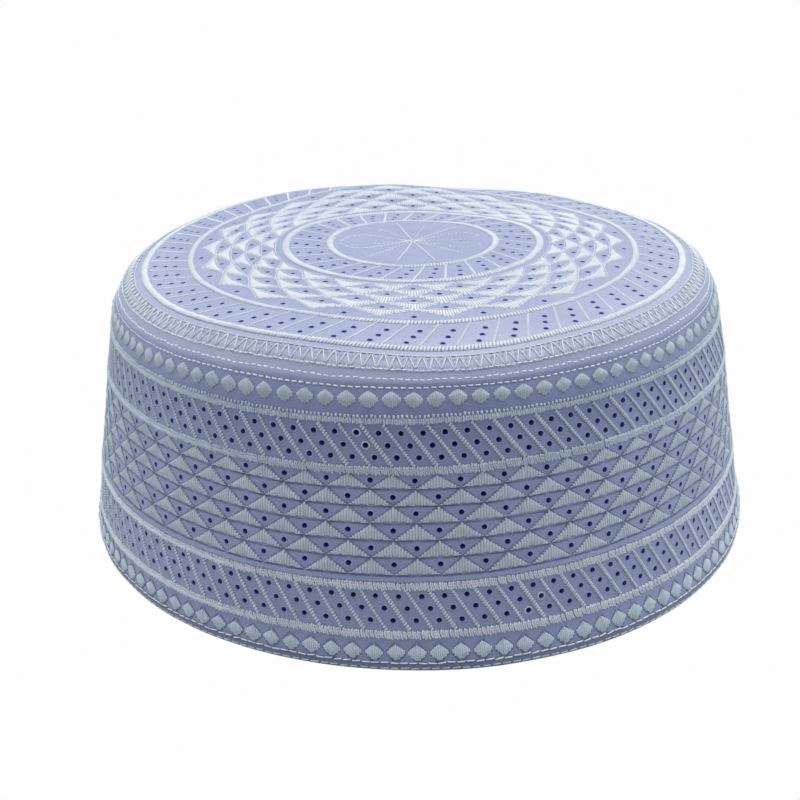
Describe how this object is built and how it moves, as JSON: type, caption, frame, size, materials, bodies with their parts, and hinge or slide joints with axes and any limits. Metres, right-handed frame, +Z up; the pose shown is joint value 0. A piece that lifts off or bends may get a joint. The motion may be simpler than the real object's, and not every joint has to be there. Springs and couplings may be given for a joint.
{
  "type": "prayer cap",
  "caption": "Round brimless prayer cap with a gently domed crown, a flared upright side band, a bound hem, embroidered borders and pierced eyelets.",
  "frame": {"origin": "on the cap's axis, in the plane that the hem rests on", "axes": "+Z up along the cap's axis, towards the crown; -Y towards the front that the picture shows"},
  "size_m": [0.1876, 0.1876, 0.0749],
  "materials": {
    "crown_cloth": "lavender cotton cloth with white satin-stitch embroidery",
    "band_cloth": "lavender cotton cloth with pale satin-stitch embroidery",
    "hem_cloth": "lavender cotton binding with a pale running stitch",
    "embroidery_thread": "pale glossy embroidery thread"
  },
  "bodies": {
    "root": {"crown": "crown_cloth", "side_band": "band_cloth", "hem_binding": "hem_cloth"}
  },
  "joints": []
}
